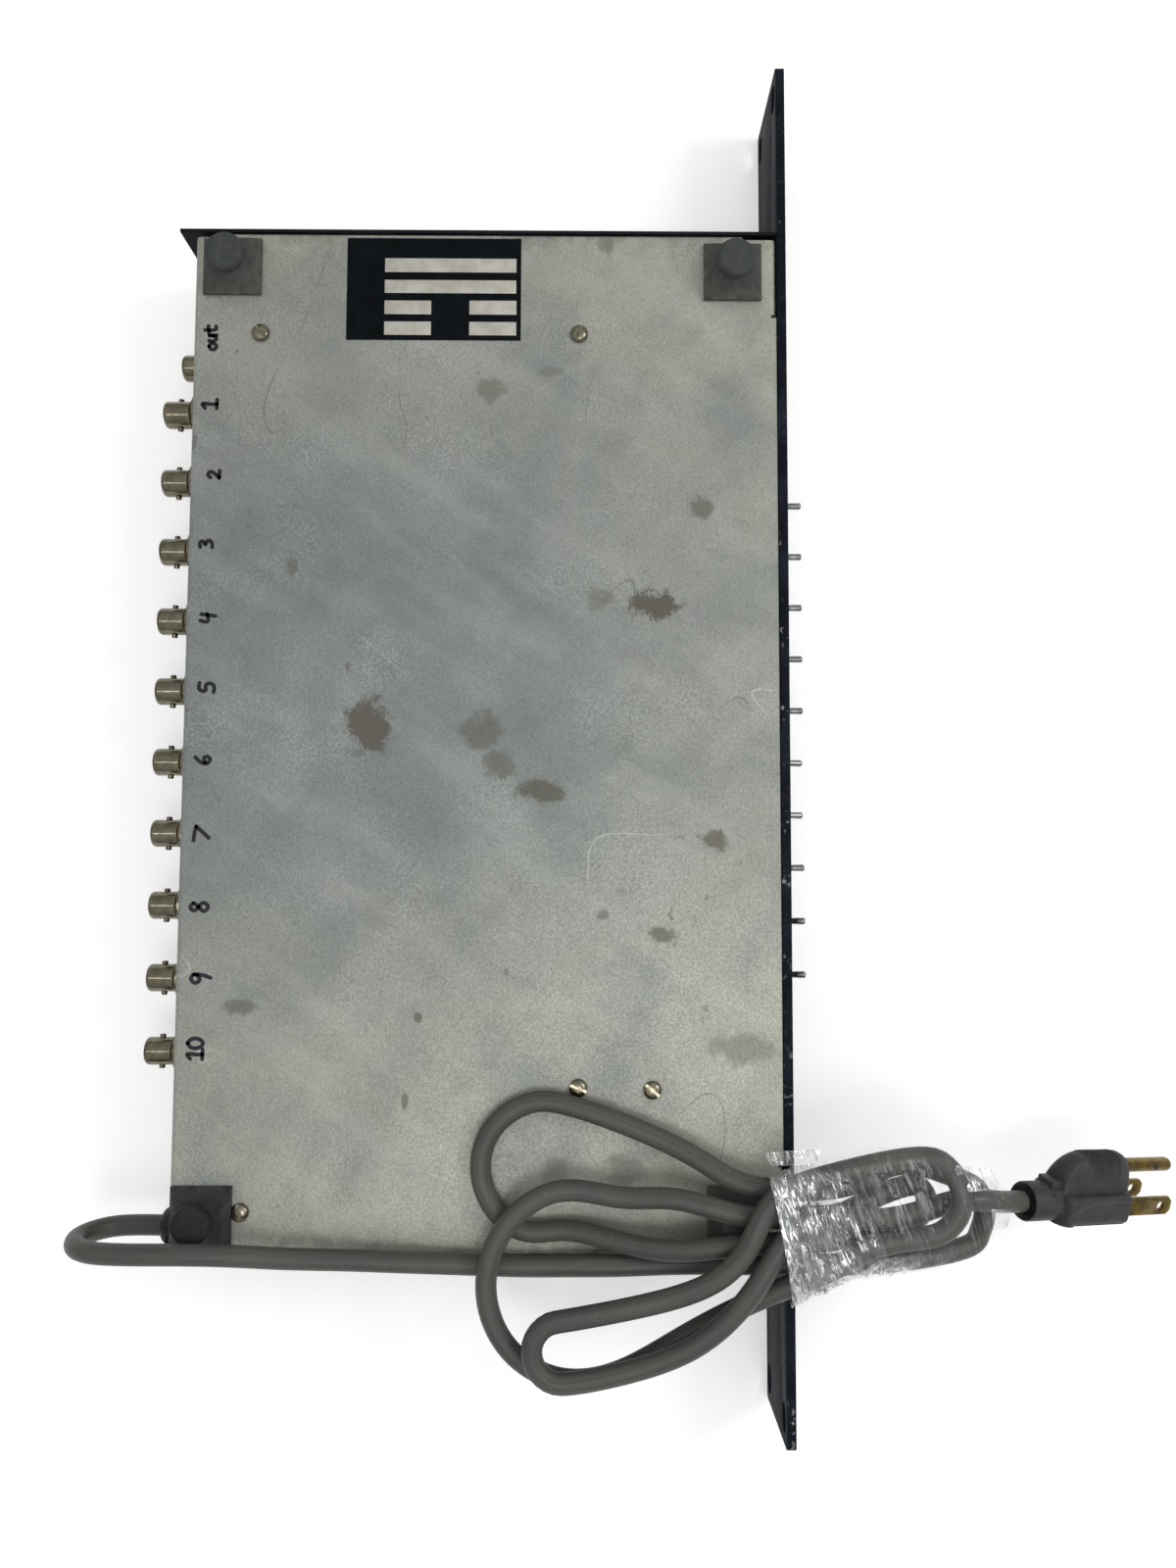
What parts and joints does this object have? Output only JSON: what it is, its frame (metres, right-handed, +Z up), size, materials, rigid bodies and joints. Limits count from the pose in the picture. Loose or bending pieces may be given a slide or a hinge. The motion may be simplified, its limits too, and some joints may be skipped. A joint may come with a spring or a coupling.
{
  "type": "rack-mount signal switcher",
  "caption": "Thin rack-mount signal switcher lying on its top cover: black front panel with toggles and lamps, bayonet jacks at the rear, bumper feet and a bundled mains cord.",
  "frame": {"origin": "on the surface that the unit lies on, under the middle of the unit without its cord", "axes": "+X along the front panel, from the cord's side to the output jack's side; +Y from the front panel to the rear jacks; +Z up, out of the unit's underside, which faces up"},
  "size_m": [0.4826, 0.3782, 0.0731],
  "materials": {
    "zinc": "zinc plated sheet steel, worn and stained",
    "black_paint": "satin black paint",
    "panel": "satin black paint on an aluminium plate",
    "rubber": "dark grey, matt",
    "nickel": "dull nickel plate on brass",
    "screw_steel": "nickel plate",
    "chrome": "polished",
    "lens": "tinted clear plastic",
    "board": "solder mask on glass laminate",
    "core_steel": "laminations",
    "winding": "taped copper winding",
    "nylon": "black nylon",
    "grey_vinyl": "soft grey vinyl",
    "plug_brass": "dull brass",
    "film": "clear stretch film, creased"
  },
  "bodies": {
    "unit": {"chassis_pan": "zinc", "top_cover": "black_paint", "front_panel": "panel", "foot_1": "rubber", "foot_2": "rubber", "foot_3": "rubber", "foot_4": "rubber", "jack_out": "nickel", "jack_1": "nickel", "jack_2": "nickel", "jack_3": "nickel", "jack_4": "nickel", "jack_5": "nickel", "jack_6": "nickel", "jack_7": "nickel", "jack_8": "nickel", "jack_9": "nickel", "jack_10": "nickel", "lamp_1": "lens", "lamp_2": "lens", "lamp_3": "lens", "lamp_4": "lens", "lamp_5": "lens", "lamp_6": "lens", "lamp_7": "lens", "lamp_8": "lens", "lamp_9": "lens", "lamp_10": "lens", "switch_board": "board", "main_board": "board", "standoff_1": "nickel", "standoff_2": "nickel", "standoff_3": "nickel", "transformer_core": "core_steel", "transformer_winding": "winding", "screw_1": "screw_steel", "screw_2": "screw_steel", "screw_3": "screw_steel", "screw_4": "screw_steel", "screw_5": "screw_steel", "strain_relief": "nylon", "cord_lead": "grey_vinyl", "cord_hank": "grey_vinyl", "cord_tail": "grey_vinyl", "cord_wrap": "film", "plug_body": "grey_vinyl", "plug_blade_1": "plug_brass", "plug_blade_2": "plug_brass", "plug_ground_pin": "plug_brass"},
    "lever_1": {"toggle_lever_1": "chrome"},
    "lever_2": {"toggle_lever_2": "chrome"},
    "lever_3": {"toggle_lever_3": "chrome"},
    "lever_4": {"toggle_lever_4": "chrome"},
    "lever_5": {"toggle_lever_5": "chrome"},
    "lever_6": {"toggle_lever_6": "chrome"},
    "lever_7": {"toggle_lever_7": "chrome"},
    "lever_8": {"toggle_lever_8": "chrome"},
    "lever_9": {"toggle_lever_9": "chrome"},
    "lever_10": {"toggle_lever_10": "chrome"}
  },
  "joints": [
    {"name": "toggle_1_tilt", "type": "hinge", "parent": "unit", "child": "lever_1", "pos_m": [0.08572, -0.10627, 0.02183], "axis": [1, 0, 0], "range_deg": [-12, 12]},
    {"name": "toggle_2_tilt", "type": "hinge", "parent": "unit", "child": "lever_2", "pos_m": [0.06667, -0.10627, 0.02183], "axis": [1, 0, 0], "range_deg": [-12, 12]},
    {"name": "toggle_3_tilt", "type": "hinge", "parent": "unit", "child": "lever_3", "pos_m": [0.04763, -0.10627, 0.02183], "axis": [1, 0, 0], "range_deg": [-12, 12]},
    {"name": "toggle_4_tilt", "type": "hinge", "parent": "unit", "child": "lever_4", "pos_m": [0.02857, -0.10627, 0.02183], "axis": [1, 0, 0], "range_deg": [-12, 12]},
    {"name": "toggle_5_tilt", "type": "hinge", "parent": "unit", "child": "lever_5", "pos_m": [0.00953, -0.10627, 0.02183], "axis": [1, 0, 0], "range_deg": [-12, 12]},
    {"name": "toggle_6_tilt", "type": "hinge", "parent": "unit", "child": "lever_6", "pos_m": [-0.00953, -0.10627, 0.02183], "axis": [1, 0, 0], "range_deg": [-24, 0]},
    {"name": "toggle_7_tilt", "type": "hinge", "parent": "unit", "child": "lever_7", "pos_m": [-0.02857, -0.10627, 0.02183], "axis": [1, 0, 0], "range_deg": [-24, 0]},
    {"name": "toggle_8_tilt", "type": "hinge", "parent": "unit", "child": "lever_8", "pos_m": [-0.04763, -0.10627, 0.02183], "axis": [1, 0, 0], "range_deg": [-12, 12]},
    {"name": "toggle_9_tilt", "type": "hinge", "parent": "unit", "child": "lever_9", "pos_m": [-0.06667, -0.10627, 0.02183], "axis": [1, 0, 0], "range_deg": [0, 24]},
    {"name": "toggle_10_tilt", "type": "hinge", "parent": "unit", "child": "lever_10", "pos_m": [-0.08572, -0.10627, 0.02183], "axis": [1, 0, 0], "range_deg": [0, 24]}
  ]
}
